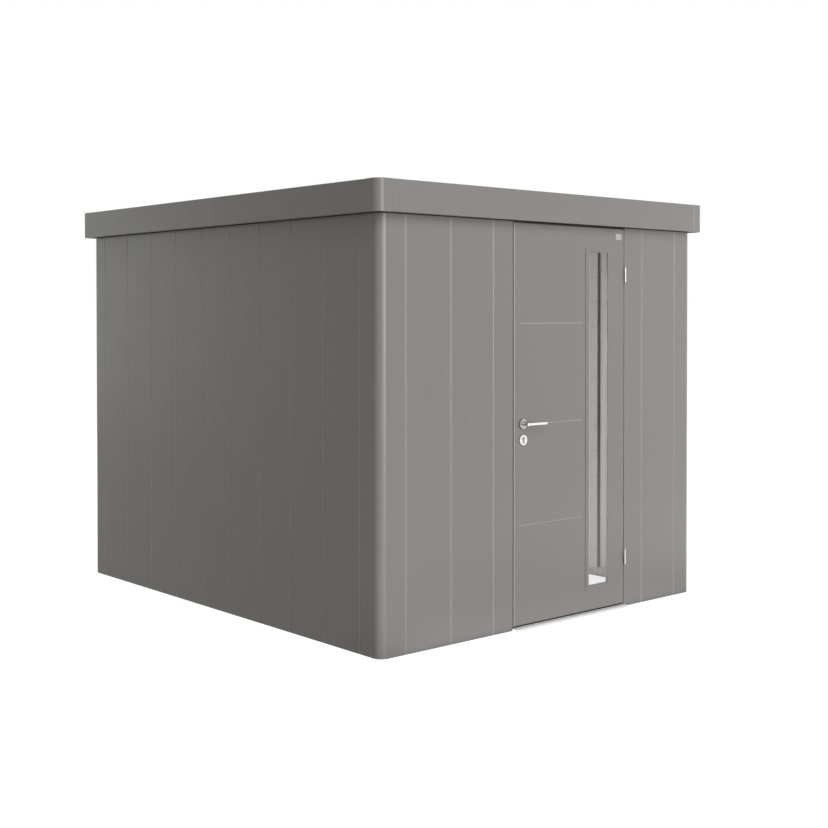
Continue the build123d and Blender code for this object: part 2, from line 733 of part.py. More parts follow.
# Hinges: a fixed lower barrel with its pin and an upper barrel that turns with the leaf.
# A flat wing runs back from each barrel into the gap beside the leaf, so only the barrels show.
def hinge_round(radius, height, bottom):
    return Pos(HINGE_X, -HINGE_PROUD, bottom) * Cylinder(radius, height, align=FROM_BASE)


def hinge_wing(x0, bottom):
    return block(x0, x0 + SHEET, -HINGE_PROUD, HINGE_WING_END, bottom, bottom + HINGE_HALF)


def hinge_frame_half(bottom):
    pin_length = 2 * (HINGE_HALF - HINGE_PLAY) - SHEET
    return (
        hinge_round(HINGE_RADIUS, HINGE_HALF, bottom)
        + hinge_wing(OPENING_RIGHT - SHEET, bottom)
        + hinge_round(HINGE_PIN_RADIUS, pin_length, bottom)
    )


def hinge_leaf_half(bottom):
    low = bottom + HINGE_HALF + HINGE_PLAY
    bore = hinge_round(HINGE_PIN_RADIUS + HINGE_PIN_CLEARANCE, HINGE_HALF - SHEET, low)
    return hinge_round(HINGE_RADIUS, HINGE_HALF, low) + hinge_wing(LEAF_RIGHT, low) - bore


save("hinge_frame_halves", *(on_wall(hinge_frame_half(z), "front") for z in HINGE_BOTTOMS))
save("hinge_leaf_halves", *(on_wall(hinge_leaf_half(z), "front") for z in HINGE_BOTTOMS))
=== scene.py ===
# %% [markdown]
# # A metal tool shed, dressed in Blender
# The shed's pieces come ready made, at their real size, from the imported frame. This lesson gives
# them their paint, metal and clear pane, and adds the small things that a drawing of the sheet
# metal leaves out: rubber seals, screws, punched holes and the fine lines round the lock.
# Everything is in metres. The front wall faces -Y, +X runs to the right along it, and +Z is up.

# %% Load the shed
import json
import math

import bmesh
import bpy
from mathutils import Matrix, Vector


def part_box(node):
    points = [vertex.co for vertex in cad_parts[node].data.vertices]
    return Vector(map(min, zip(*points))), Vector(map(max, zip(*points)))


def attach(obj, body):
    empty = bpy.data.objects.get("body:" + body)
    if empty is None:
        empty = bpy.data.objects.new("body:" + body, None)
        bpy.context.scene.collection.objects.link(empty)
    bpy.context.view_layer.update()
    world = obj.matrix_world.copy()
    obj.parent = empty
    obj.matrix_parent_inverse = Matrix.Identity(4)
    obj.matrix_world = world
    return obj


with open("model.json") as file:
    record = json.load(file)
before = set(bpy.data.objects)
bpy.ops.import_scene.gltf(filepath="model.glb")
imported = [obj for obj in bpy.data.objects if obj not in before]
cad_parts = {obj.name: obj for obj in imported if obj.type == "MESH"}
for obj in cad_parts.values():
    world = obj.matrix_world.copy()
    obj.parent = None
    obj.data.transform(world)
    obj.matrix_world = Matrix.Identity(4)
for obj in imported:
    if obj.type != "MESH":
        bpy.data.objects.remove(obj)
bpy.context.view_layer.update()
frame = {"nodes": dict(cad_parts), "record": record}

scene = bpy.context.scene
MM = 0.001

# %% [markdown]
# ## The camera
# The picture looks at the front left corner from eye height, a little from the left of the
# corner. A camera could be placed by eye, but then no edge would lie exactly on its edge in the
# picture. So the lens and the place below were solved from the wall edges, and the shift is there
# because the picture was cropped off centre.

# %% Camera
EYE = Vector((-4.884, -6.136, 1.586))
EYE_YAW = math.radians(42.113)
EYE_PITCH = math.radians(0.878)
LENS_MM, SENSOR_MM = 57.40, 36.0
FRAME_SHIFT = (-0.0606, -0.0960)
FAR_CLIP = 200.0

camera_data = bpy.data.cameras.new("camera")
camera_data.lens = LENS_MM
camera_data.sensor_width = SENSOR_MM
camera_data.shift_x, camera_data.shift_y = FRAME_SHIFT
camera_data.clip_end = FAR_CLIP
camera = bpy.data.objects.new("camera", camera_data)
camera.location = EYE
camera.rotation_euler = (math.pi / 2 - EYE_PITCH, 0.0, -EYE_YAW)
scene.collection.objects.link(camera)
scene.camera = camera
print("camera at", [round(v, 3) for v in EYE])

# %% [markdown]
# ## Sizes to build on
# The added pieces sit on the sheet metal. Their places could be typed in, but they would be wrong
# after any change of a wall, so they are read from the pieces that carry them. Only the pitch of
# the panels, the legs of the corner posts and the depth of a tray are numbers of the design.

# %% Sizes
HALF_W = -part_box("left_wall_panels")[0].x
HALF_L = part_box("back_wall_panels")[1].y
FRONT = -HALF_L
leaf_low, leaf_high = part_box("door_front_skin")
PANEL_PITCH = 280 * MM
CORNER_LEG = 151 * MM
PANEL_DEPTH = 38 * MM
print("half width", round(HALF_W, 3), "half length", round(HALF_L, 3))

# %% [markdown]
# ## The room
# A product picture is taken in a bright white room. The world here is that room: to the eye, and
# in every reflection, it is plain white. If it lit the shed as strongly, all walls would look
# alike, so as a light it is much weaker and the lamps model the walls. A Light Path node tells
# the two apart. The little functions make a node or two each, because every finish below is put
# together from them.

# %% Room
ROOM_LIGHT = 0.08


def feed(tree, value, socket):
    """Link an output to a socket, or set a plain value on it."""
    if hasattr(value, "links"):
        tree.links.new(value, socket)
    else:
        socket.default_value = value


def math_node(tree, operation, first, second=None):
    """One Math node on one or two values, which are outputs or plain numbers."""
    node = tree.nodes.new("ShaderNodeMath")
    node.operation = operation
    feed(tree, first, node.inputs[0])
    if second is not None:
        feed(tree, second, node.inputs[1])
    return node.outputs[0]


def map_range(tree, value, to_range, from_range=(0.0, 1.0), smooth=False):
    """Stretch a value from one range to another, with no overshoot."""
    node = tree.nodes.new("ShaderNodeMapRange")
    if smooth:
        node.interpolation_type = "SMOOTHSTEP"
    node.inputs["From Min"].default_value, node.inputs["From Max"].default_value = from_range
    node.inputs["To Min"].default_value, node.inputs["To Max"].default_value = to_range
    tree.links.new(value, node.inputs["Value"])
    return node.outputs["Result"]


def seen_directly(tree):
    """Factor that is 1 for camera, glossy and transmission rays, and 0 for scattered light."""
    path = tree.nodes.new("ShaderNodeLightPath")
    factor = path.outputs["Is Camera Ray"]
    for kind in ("Is Glossy Ray", "Is Transmission Ray"):
        factor = math_node(tree, "MAXIMUM", factor, path.outputs[kind])
    return factor


scene.view_settings.view_transform = "Standard"
world = bpy.data.worlds.new("white_room")
scene.world = world
world.use_nodes = True
room_tree = world.node_tree
background = room_tree.nodes["Background"]
background.inputs["Color"].default_value = (1.0, 1.0, 1.0, 1.0)
room_strength = map_range(room_tree, seen_directly(room_tree), (ROOM_LIGHT, 1.0))
room_tree.links.new(room_strength, background.inputs["Strength"])
print("room: seen as 1.0, lights as", ROOM_LIGHT)

# %% [markdown]
# ## The floor
# The shed stands on a floor that melts into the white of the room, with a little shadow near the
# walls. A plain white sheet would light the walls from below and show its own edge. So the sheet
# is a weak grey that takes shadows, plus a white glow that only the eye and the reflections see.
# The glow is a little weaker near the shed, and more so under its roof: painted shade where the
# room can't shine.

# %% Floor
FLOOR_SIZE = 80.0
FLOOR_GREY = 0.30
FLOOR_GLOW = (0.95, 1.0)
FLOOR_GLOW_REACH = (2.6, 5.0)
# Painted shade: strength of the floor's glow under the shed's roof.
INDOOR_SHADED_GLOW = 0.62
INDOOR_EDGE = (1.30, 1.36)


def mesh_from(pattern):
    """Mesh of a pattern, which is a list of vertices and a list of faces."""
    mesh = bpy.data.meshes.new("pattern")
    mesh.from_pydata(pattern[0], [], pattern[1])
    return mesh


def new_material(name):
    """Node material with a Principled shader: returns the material, its tree and the shader."""
    material = bpy.data.materials.new(name)
    material.use_nodes = True
    tree = material.node_tree
    return material, tree, tree.nodes["Principled BSDF"]


def object_place(tree):
    """The point that is shaded, in metres along the axes of the shed."""
    return tree.nodes.new("ShaderNodeTexCoord").outputs["Object"]


def axes_of(tree, place):
    """The X, Y and Z of a point, to be picked by name."""
    node = tree.nodes.new("ShaderNodeSeparateXYZ")
    tree.links.new(place, node.inputs[0])
    return node.outputs


def floor_glow(tree):
    """Strength of the glow: weaker near the shed, and weaker still inside its walls as painted
    shade.
    """
    place = object_place(tree)
    distance = tree.nodes.new("ShaderNodeVectorMath")
    distance.operation = "LENGTH"
    tree.links.new(place, distance.inputs[0])
    fade = map_range(tree, distance.outputs["Value"], FLOOR_GLOW, FLOOR_GLOW_REACH, smooth=True)
    axes = axes_of(tree, place)
    across = math_node(tree, "MULTIPLY", math_node(tree, "ABSOLUTE", axes["X"]), HALF_L / HALF_W)
    along = math_node(tree, "ABSOLUTE", axes["Y"])
    outermost = math_node(tree, "MAXIMUM", across, along)
    # Painted shade: the glow is dimmed inside the walls, under the roof.
    indoor_shade = map_range(tree, outermost, (INDOOR_SHADED_GLOW, 1.0), INDOOR_EDGE, smooth=True)
    shaded = math_node(tree, "MULTIPLY", fade, indoor_shade)
    return math_node(tree, "MULTIPLY", seen_directly(tree), shaded)


half = FLOOR_SIZE / 2
floor_corners = [(-half, -half, 0), (half, -half, 0), (half, half, 0), (-half, half, 0)]
floor_mesh = mesh_from((floor_corners, [(0, 1, 2, 3)]))
floor = bpy.data.objects.new("floor", floor_mesh)
scene.collection.objects.link(floor)
floor_white, tree, shader = new_material("floor_white")
tree.nodes.remove(shader)
matt = tree.nodes.new("ShaderNodeBsdfDiffuse")
matt.inputs["Color"].default_value = (FLOOR_GREY, FLOOR_GREY, FLOOR_GREY, 1.0)
glow = tree.nodes.new("ShaderNodeEmission")
tree.links.new(floor_glow(tree), glow.inputs["Strength"])
both = tree.nodes.new("ShaderNodeAddShader")
tree.links.new(matt.outputs[0], both.inputs[0])
tree.links.new(glow.outputs[0], both.inputs[1])
tree.links.new(both.outputs[0], tree.nodes["Material Output"].inputs["Surface"])
floor_mesh.materials.append(floor_white)
print("floor:", FLOOR_SIZE, "m wide")

# %% [markdown]
# ## The two main lamps
# The photo's front is bright, its left wall is darker, and a broad pale stripe stands on the
# rounded corner. Sun and sky would draw hard shadows, so two softboxes stand in front of the
# shed, a little to the left: one upright and reaching down to the floor, which draws the stripe,
# and one higher and tilted, which lights the front. A softbox is given by its radiance, so its
# size can be changed without changing how bright it looks.

# %% Main lamps
FRONT_LEFT_CORNER = Vector((-1.1, -1.4, 0.0))


def away_from_shed(azimuth, elevation=0.0):
    """Unit vector. Azimuth turns from the front (-Y) to the left (-X)."""
    turn, tilt = math.radians(azimuth), math.radians(elevation)
    return Vector((-math.sin(turn) * math.cos(tilt), -math.cos(turn) * math.cos(tilt),
                   math.sin(tilt)))


def softbox(name, place, backwards, width, height, radiance):
    """Rectangular lamp. Backwards is the direction from the lit thing to the lamp."""
    lamp_data = bpy.data.lights.new(name, "AREA")
    lamp_data.shape = "RECTANGLE"
    lamp_data.size, lamp_data.size_y = width, height
    lamp_data.energy = radiance * math.pi * width * height
    lamp = bpy.data.objects.new(name, lamp_data)
    lamp.location = place
    lamp.rotation_mode = "QUATERNION"
    lamp.rotation_quaternion = backwards.to_track_quat("Z", "Y")
    lamp.visible_camera = False
    scene.collection.objects.link(lamp)
    return lamp


def softbox_around(name, target, azimuth, elevation, distance, width, height, radiance):
    """Lamp at a distance from a target, facing it."""
    away = away_from_shed(azimuth, elevation)
    softbox(name, Vector(target) + distance * away, away, width, height, radiance)


# name, target, azimuth, elevation, distance, width, height, radiance
softbox_around("key_upright", FRONT_LEFT_CORNER + Vector((0, 0, 2.11)), 8, 0, 9.0, 2.6, 4.18, 9.3)
softbox_around("key_high", (-0.4, -1.2, 1.0), 16, 40, 9.0, 4.0, 5.0, 6.2)

# %% [markdown]
# ## Cards on the floor
# A photographer lays white cards on the floor, to return some light to the foot of a wall. Here a
# card is a lamp that lies flat and shines up. It lies only a few millimetres over the floor,
# because from higher up it would leave the foot of the wall dark. The card on the right is laid
# in four lengths that grow weaker, so that the pane of the door doesn't mirror a hard edge.

# %% Floor cards
CARD_HEIGHT = 4 * MM
FOOT_OF_FRONT = (0.1, -1.411, 0.0)
FOOT_OF_RIGHT = (0.9, -1.411, 0.0)
# near end, far end, radiance
RIGHT_CARDS = ((0.8, 3.2, 1.1), (3.2, 4.5, 0.82), (4.5, 6.5, 0.55), (6.5, 9.5, 0.27))


def floor_card(name, corner, azimuth, near, far, width, radiance):
    """Bright card lying on the floor, reaching away from a corner of the shed."""
    reach = (near + far) / 2 * away_from_shed(azimuth)
    middle = Vector(corner) + reach + Vector((0, 0, CARD_HEIGHT))
    card = softbox(name, middle, Vector((0, 0, -1)), width, far - near, radiance)
    card.rotation_mode = "XYZ"
    card.rotation_euler = (math.pi, 0.0, -math.radians(azimuth))
    print(name, "reaches from", near, "to", far, "m")


# name, corner, azimuth, near end, far end, width, radiance
floor_card("corner_card", FRONT_LEFT_CORNER, 20, 0.25, 1.7, 1.4, 0.6)
floor_card("foot_card", FOOT_OF_FRONT, 0, 0.02, 0.32, 2.1, 0.42)
for number, (near, far, radiance) in enumerate(RIGHT_CARDS, start=1):
    floor_card(f"right_card_{number}", FOOT_OF_RIGHT, -50, near, far, 3.0, radiance)

# %% [markdown]
# ## Fill lamps
# What the main lamps leave dark gets weaker boxes of its own: one for the right end of the front,
# one that runs along the left wall, and one for the back, which the picture doesn't show. Through
# the clear strip in the door one sees lit walls inside, so two lamps hang in the room of the
# shed.

# %% Fill lamps
# name, target, azimuth, elevation, distance, width, height, radiance
softbox_around("right_upright", (0.9, -1.4, 2.11), -60, 0, 9.0, 3.6, 4.18, 1.35)
softbox_around("left_wall_streak", (-1.131, 1.3, 2.3), 157, 0, 12.0, 2.6, 4.5, 1.4)
softbox_around("back_box", (0.4, 1.2, 1.0), -152, 25, 8.0, 6.0, 6.0, 2.6)
softbox_around("inside_side_lamp", (-0.55, -1.05, 0.95), 60, 0, 0.0, 0.25, 1.7, 34.0)
softbox_around("inside_top_lamp", (0.0, 0.0, 2.02), 0, 90, 0.0, 1.2, 1.6, 1.5)

# %% [markdown]
# ## Painted highlights on the folds
# The folds of the panels, the seams of the roof edge and the three lines pressed into the door
# show as fine light lines, where their small round bends catch the lamps. That highlight is
# painted into the colour here, as a paler tone along each line. The lines could be painted on an
# image, but that would blur when one comes near. So they are worked out from the place of each
# point: the lines repeat at the pitch of the panels, and a mask is 1 on them and 0 beside them.
# Each row below gives the axis, the first line, the pitch, half the width, the weight, and a
# function that limits it to a part of the shed. A line that doesn't repeat has a pitch longer than
# the shed.

# %% Painted fold highlights
FOLD_HALF = 4.6 * MM
SEAM_HALF, CAP_SEAM_HALF, PRESSED_HALF = 2.5 * MM, 2.6 * MM, 2.2 * MM
LINE_EDGES = (1.2, 0.8)  # shares of the half width where a line is out and fully in
NO_REPEAT = 20.0
OUTER_SKIN = 6.5 * MM
BACK_GAIN = (0.6, 3.0)
OPENING_EDGE, OPENING_WIDTH = -0.283, 0.842
FASCIA_SEAM, CAP_SEAM = -0.0235, 1.0975
PRESSED_FIRST, PRESSED_PITCH = 0.523, 0.509
PRESSED_FROM, PRESSED_TO = -0.2335, 0.2255


def more_to_the_back(tree, axes):
    """The painted highlight grows from the front to the back, as the eye looks along the side wall
    ever flatter.
    """
    run = math_node(tree, "ADD", math_node(tree, "DIVIDE", axes["Y"], 2 * HALF_L), 0.5)
    return map_range(tree, math_node(tree, "MULTIPLY", run, run), BACK_GAIN)


def front_half(tree, axes):
    """1 in the front half of the shed, where the door opening is."""
    return math_node(tree, "LESS_THAN", axes["Y"], 0.0)


def within_pressing(tree, axes):
    """1 between the two ends of the lines that are pressed into the door."""
    after_start = math_node(tree, "GREATER_THAN", axes["X"], PRESSED_FROM)
    before_end = math_node(tree, "LESS_THAN", axes["X"], PRESSED_TO)
    return math_node(tree, "MULTIPLY", after_start, before_end)


# axis, first line, pitch, half width, weight, limit
WALL_FOLD_HIGHLIGHTS = (("X", -HALF_W + CORNER_LEG, PANEL_PITCH, FOLD_HALF, 1.0, None),
              ("Y", -HALF_L + CORNER_LEG, PANEL_PITCH, FOLD_HALF, 0.9, more_to_the_back),
              ("X", OPENING_EDGE, OPENING_WIDTH, FOLD_HALF, 0.35, front_half))
FASCIA_SEAM_HIGHLIGHTS = (("Y", FASCIA_SEAM, NO_REPEAT, SEAM_HALF, 1.3, None),
                ("X", CAP_SEAM, NO_REPEAT, CAP_SEAM_HALF, 0.8, None))
DOOR_LINE_HIGHLIGHTS = (("X", leaf_low.x, leaf_high.x - leaf_low.x, FOLD_HALF, 0.9, None),
              ("Z", PRESSED_FIRST, PRESSED_PITCH, PRESSED_HALF, 1.0, within_pressing))


def near_line(tree, along, first, pitch, half_width):
    """1 on the lines at first, first + pitch and so on, fading to 0 at their edges."""
    steps = math_node(tree, "DIVIDE", math_node(tree, "SUBTRACT", along, first), pitch)
    nearest = math_node(tree, "ROUND", steps)
    off = math_node(tree, "ABSOLUTE", math_node(tree, "SUBTRACT", steps, nearest))
    edges = [share * half_width / pitch for share in LINE_EDGES]
    return map_range(tree, off, (0.0, 1.0), edges)


def tray_depth(tree, place):
    """How far a point lies behind the outer face of the nearest wall."""
    axes = axes_of(tree, place)
    from_side = math_node(tree, "SUBTRACT", HALF_W, math_node(tree, "ABSOLUTE", axes["X"]))
    from_end = math_node(tree, "SUBTRACT", HALF_L, math_node(tree, "ABSOLUTE", axes["Y"]))
    return math_node(tree, "MINIMUM", from_side, from_end)


def fold_highlight_mask(tree, place, folds):
    """How strongly the painted highlight lies on a point of the outer skin: the strongest row
    counts.
    """
    axes = axes_of(tree, place)
    strongest = 0.0
    for axis, first, pitch, half_width, weight, limit in folds:
        here = near_line(tree, axes[axis], first, pitch, half_width)
        if limit:
            here = math_node(tree, "MULTIPLY", here, limit(tree, axes))
        here = math_node(tree, "MULTIPLY", here, weight)
        strongest = math_node(tree, "MAXIMUM", strongest, here)
    outer = math_node(tree, "LESS_THAN", tray_depth(tree, place), OUTER_SKIN)
    return math_node(tree, "MULTIPLY", strongest, outer)


print("rows of lines:", len(WALL_FOLD_HIGHLIGHTS), "walls,", len(FASCIA_SEAM_HIGHLIGHTS), "fascia,",
      len(DOOR_LINE_HIGHLIGHTS), "door")

# %% [markdown]
# ## Paint
# The sheet is painted before it is folded, and baked: an even, half-gloss coat with a very fine
# orange peel. The colour is a warm quartz grey. The hollow side of each folded tray has a paler
# primer coat, found here by its depth behind the outer face. One flat colour would do from afar.
# Soft clouds in tone and gloss, a slow wave of the sheet and the peel keep large walls from
# looking like plastic, and because noise is worked out in metres, it is the same on every piece.

# %% Paint
QUARTZ_GREY = (0.219, 0.212, 0.198)
FRAME_GREY = (0.20, 0.197, 0.188)
PRIMER_GREY = (0.245, 0.242, 0.232)
FOLD_HIGHLIGHT_TONE = 1.9
PRIMER_FROM, LIP_SKIN = 1.5 * MM, 0.8 * MM
PAINT_TONE = (0.975, 1.025)
PAINT_ROUGHNESS = (0.31, 0.39)
CLOUD_SCALE, SMEAR_SCALE, WAVE_SCALE, PEEL_SCALE = 1.1, 5.0, 2.6, 420.0
WAVE_DEPTH, PEEL_DEPTH = 0.3 * MM, 0.004 * MM


def noise(tree, place, scale, detail=2.0, roughness=0.5):
    """Soft random pattern from 0 to 1. Scale is about how many patches there are in a metre."""
    node = tree.nodes.new("ShaderNodeTexNoise")
    node.inputs["Scale"].default_value = scale
    node.inputs["Detail"].default_value = detail
    node.inputs["Roughness"].default_value = roughness
    tree.links.new(place, node.inputs["Vector"])
    return node.outputs["Fac"]


def mixed(tree, factor, first, second):
    """The first colour where the factor is 0, the second where it is 1."""
    node = tree.nodes.new("ShaderNodeMix")
    node.data_type = "RGBA"
    node.clamp_factor = False
    tree.links.new(factor, node.inputs[0])
    for socket, colour in ((node.inputs[6], first), (node.inputs[7], second)):
        feed(tree, colour if hasattr(colour, "links") else (*colour, 1.0), socket)
    return node.outputs[2]


def tinted(tree, colour, factor):
    """A colour made darker or lighter by a factor near 1."""
    node = tree.nodes.new("ShaderNodeVectorMath")
    node.operation = "SCALE"
    feed(tree, colour, node.inputs[0])
    tree.links.new(factor, node.inputs["Scale"])
    return node.outputs["Vector"]


def bumped(tree, height, distance, under=None):
    """Surface direction of a relief: height from 0 to 1 stands for a distance in metres."""
    node = tree.nodes.new("ShaderNodeBump")
    node.inputs["Distance"].default_value = distance
    tree.links.new(height, node.inputs["Height"])
    if under is not None:
        tree.links.new(under, node.inputs["Normal"])
    return node.outputs["Normal"]


def paint(name, colour, back_coat=None, folds=()):
    """Baked paint with a painted highlight along its folds, and the back coat on the hollow side
    of a tray.
    """
    material, tree, shader = new_material(name)
    place = object_place(tree)
    # Painted highlight: the colour is made lighter along the fold lines.
    if folds:
        highlight_colour = [channel * FOLD_HIGHLIGHT_TONE for channel in colour]
        colour = mixed(tree, fold_highlight_mask(tree, place, folds), colour, highlight_colour)
    if back_coat:
        depth = tray_depth(tree, place)
        behind = math_node(tree, "GREATER_THAN", depth, PRIMER_FROM)
        before_lip = math_node(tree, "LESS_THAN", depth, PANEL_DEPTH - LIP_SKIN)
        hollow = math_node(tree, "MULTIPLY", behind, before_lip)
        colour = mixed(tree, hollow, colour, back_coat)
    tone = map_range(tree, noise(tree, place, CLOUD_SCALE, 3.0), PAINT_TONE)
    tree.links.new(tinted(tree, colour, tone), shader.inputs["Base Color"])
    gloss = map_range(tree, noise(tree, place, SMEAR_SCALE), PAINT_ROUGHNESS)
    tree.links.new(gloss, shader.inputs["Roughness"])
    wave = bumped(tree, noise(tree, place, WAVE_SCALE, 0.0), WAVE_DEPTH)
    peel = bumped(tree, noise(tree, place, PEEL_SCALE, 0.0), PEEL_DEPTH, wave)
    tree.links.new(peel, shader.inputs["Normal"])
    return material


finishes = {
    "wall_paint": paint("wall_paint", QUARTZ_GREY, PRIMER_GREY, WALL_FOLD_HIGHLIGHTS),
    "fascia_paint": paint("fascia_paint", QUARTZ_GREY, None, FASCIA_SEAM_HIGHLIGHTS),
    "door_paint": paint("door_paint", QUARTZ_GREY, None, DOOR_LINE_HIGHLIGHTS),
    "frame_paint": paint("frame_paint", FRAME_GREY),
}
print("paints:", list(finishes))

# %% [markdown]
# ## Galvanised sheet
# The roof sheets, rafters, purlins and screws are zinc-coated steel. Zinc freezes on the sheet in
# crystals, a few millimetres to a couple of centimetres across, each a slightly different grey
# and gloss. A Voronoi texture has just such cells, and its random colour gives three numbers for
# each cell, used here for tone, gloss and height.

# %% Galvanised sheet
ZINC_GREY = (0.33, 0.338, 0.343)
ZINC_METALLIC = 0.75
ZINC_ROUGHNESS = (0.5, 0.66)
CRYSTAL_TONE, WEATHER_TONE = (0.92, 1.08), (0.92, 1.05)
CRYSTAL_SCALE, WEATHER_SCALE = 85.0, 2.0
CRYSTAL_DEPTH = 0.03 * MM


def galvanised(name):
    """Zinc-coated steel, with a tone, gloss and height of its own for each crystal."""
    material, tree, shader = new_material(name)
    place = object_place(tree)
    crystals = tree.nodes.new("ShaderNodeTexVoronoi")
    crystals.inputs["Scale"].default_value = CRYSTAL_SCALE
    tree.links.new(place, crystals.inputs["Vector"])
    channels = tree.nodes.new("ShaderNodeSeparateColor")
    tree.links.new(crystals.outputs["Color"], channels.inputs[0])
    grey = map_range(tree, channels.outputs["Red"], CRYSTAL_TONE)
    weather = map_range(tree, noise(tree, place, WEATHER_SCALE, 5.0), WEATHER_TONE)
    tone = math_node(tree, "MULTIPLY", grey, weather)
    tree.links.new(tinted(tree, ZINC_GREY, tone), shader.inputs["Base Color"])
    gloss = map_range(tree, channels.outputs["Green"], ZINC_ROUGHNESS)
    tree.links.new(gloss, shader.inputs["Roughness"])
    shader.inputs["Metallic"].default_value = ZINC_METALLIC
    grain = bumped(tree, channels.outputs["Blue"], CRYSTAL_DEPTH)
    tree.links.new(grain, shader.inputs["Normal"])
    return material


finishes["galvanised"] = galvanised("galvanised")
print("galvanised sheet:", CRYSTAL_SCALE, "crystals in a metre")

# %% [markdown]
# ## Brushed metals
# The aluminium threshold, the stainless handles, hinges and plates are brushed: fine scratches
# along one axis, which roughen the reflection. Real grooves would take millions of faces, so the
# scratches are a noise that is squeezed across the brushing. They change the tone and the gloss a
# little and raise a relief of a hundredth of a millimetre. The neck of the lever and the rosettes
# behind the lever get a second, darker colour beyond a level: painted shade, where the lever
# shades them.

# %% Brushed metals
FINE = 900.0
SCRATCH_TONE, SCRATCH_GLOSS = (0.93, 1.05), (0.8, 1.2)
SCRATCH_DEPTH = 0.01 * MM
HANDLING_SCALE, HANDLED_GLOSS = 30.0, (0.85, 1.15)
NECK_SHADE_REACH = 9.5 * MM


def brushed(name, colour, roughness, scratches_per_metre, metallic=1.0, shaded_part=None):
    """Brushed metal, from how many scratches it has in a metre along x, y and z.

    The last argument is (axis, level, colour): beyond that level the metal takes this darker
    colour instead, as painted shade.
    """
    material, tree, shader = new_material(name)
    place = object_place(tree)
    if shaded_part:
        axis, level, shade_colour = shaded_part
        beyond = math_node(tree, "GREATER_THAN", axes_of(tree, place)[axis], level)
        colour = mixed(tree, beyond, colour, shade_colour)
    squeeze = tree.nodes.new("ShaderNodeMapping")
    squeeze.inputs["Scale"].default_value = scratches_per_metre
    tree.links.new(place, squeeze.inputs["Vector"])
    scratches = noise(tree, squeeze.outputs["Vector"], 1.0, 4.0, 0.7)
    tone = map_range(tree, scratches, SCRATCH_TONE)
    tree.links.new(tinted(tree, colour, tone), shader.inputs["Base Color"])
    handled = map_range(tree, noise(tree, place, HANDLING_SCALE, 3.0),
                        [share * roughness for share in HANDLED_GLOSS])
    gloss = math_node(tree, "MULTIPLY", map_range(tree, scratches, SCRATCH_GLOSS), handled)
    tree.links.new(gloss, shader.inputs["Roughness"])
    shader.inputs["Metallic"].default_value = metallic
    tree.links.new(bumped(tree, scratches, SCRATCH_DEPTH), shader.inputs["Normal"])
    return material


finishes["aluminium"] = brushed("aluminium", (0.64, 0.64, 0.63), 0.45, (12.0, FINE, FINE))
finishes["steel"] = brushed("steel", (0.72, 0.72, 0.71), 0.24, (FINE, FINE, 40.0))
finishes["lock_brass"] = brushed("lock_brass", (0.34, 0.34, 0.33), 0.34, (300.0, 300.0, 300.0))
hinge_steel = brushed("hinge_steel", (0.47, 0.47, 0.465), 0.36, (FINE, FINE, 60.0))
satin_plate = brushed("satin_plate", (0.46, 0.46, 0.455), 0.55, (40.0, FINE, FINE), 0.35)
# Painted shade: the rosettes behind the lever are darker above the level.
rosette_steel = brushed("rosette_steel", (0.78, 0.78, 0.775), 0.27, (600.0, 600.0, 600.0),
                        shaded_part=("Z", 1.0, (0.40, 0.40, 0.395)))
# Painted shade: the neck of the lever is darker towards the leaf.
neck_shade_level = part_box("lever_outer")[0].y + NECK_SHADE_REACH
lever_steel = brushed("lever_steel", (0.74, 0.74, 0.735), 0.24, (40.0, FINE, FINE),
                      shaded_part=("Y", neck_shade_level, (0.36, 0.36, 0.355)))
print("brushed metals:", [m.name for m in bpy.data.materials if m.name.endswith("steel")])

# %% [markdown]
# ## Rubber
# The seals are black cellular rubber: almost no colour, no gloss, and a fine pitted skin. Pure
# black would look like a hole, because even black rubber returns about a hundredth of the light.
# The punched holes, the key slots, the groove of the lock rosette and the gaps round latch and
# bolt show only shade, so they take the same black as painted shade, under a name of its own. The
# grub screws of the levers are black with it too.

# %% Rubber
RUBBER_BLACK = (0.012, 0.012, 0.013)
RUBBER_TONE = (0.8, 1.2)
RUBBER_ROUGHNESS, RUBBER_SPECULAR = 0.75, 0.25
PIT_SCALE, PIT_DEPTH = 900.0, 0.08 * MM
STAIN_SCALE = 25.0


def rubber(name):
    """Matt black rubber with a pitted skin."""
    material, tree, shader = new_material(name)
    place = object_place(tree)
    tone = map_range(tree, noise(tree, place, STAIN_SCALE, 3.0), RUBBER_TONE)
    tree.links.new(tinted(tree, RUBBER_BLACK, tone), shader.inputs["Base Color"])
    shader.inputs["Roughness"].default_value = RUBBER_ROUGHNESS
    shader.inputs["Specular IOR Level"].default_value = RUBBER_SPECULAR
    pits = bumped(tree, noise(tree, place, PIT_SCALE, 2.0), PIT_DEPTH)
    tree.links.new(pits, shader.inputs["Normal"])
    return material


black_rubber = rubber("black_rubber")
# Painted shade: this black stands in for the shade inside holes, slots, grooves and gaps.
black_and_hole_shade = rubber("black_and_hole_shade")
print("rubber:", black_rubber.name, "and", black_and_hole_shade.name)

# %% [markdown]
# ## Clear pane
# The strip in the door is clear acrylic. A mix with a transparent shader would be quicker, but a
# pane that really transmits and mirrors shows the inner walls and the bright floor as the real
# one does. It has faint waves, because a plastic sheet is never as flat as float glass. Its index
# is a little under that of acrylic, so that the mirrored floor doesn't hide the inside.

# %% Clear pane
PANE_TINT = (0.97, 0.98, 0.975, 1.0)
PANE_HAZE = (0.0, 0.03)
PANE_IOR = 1.3
HAZE_SCALE, PANE_WAVE_SCALE = 8.0, 5.0
PANE_WAVE_DEPTH = 0.1 * MM


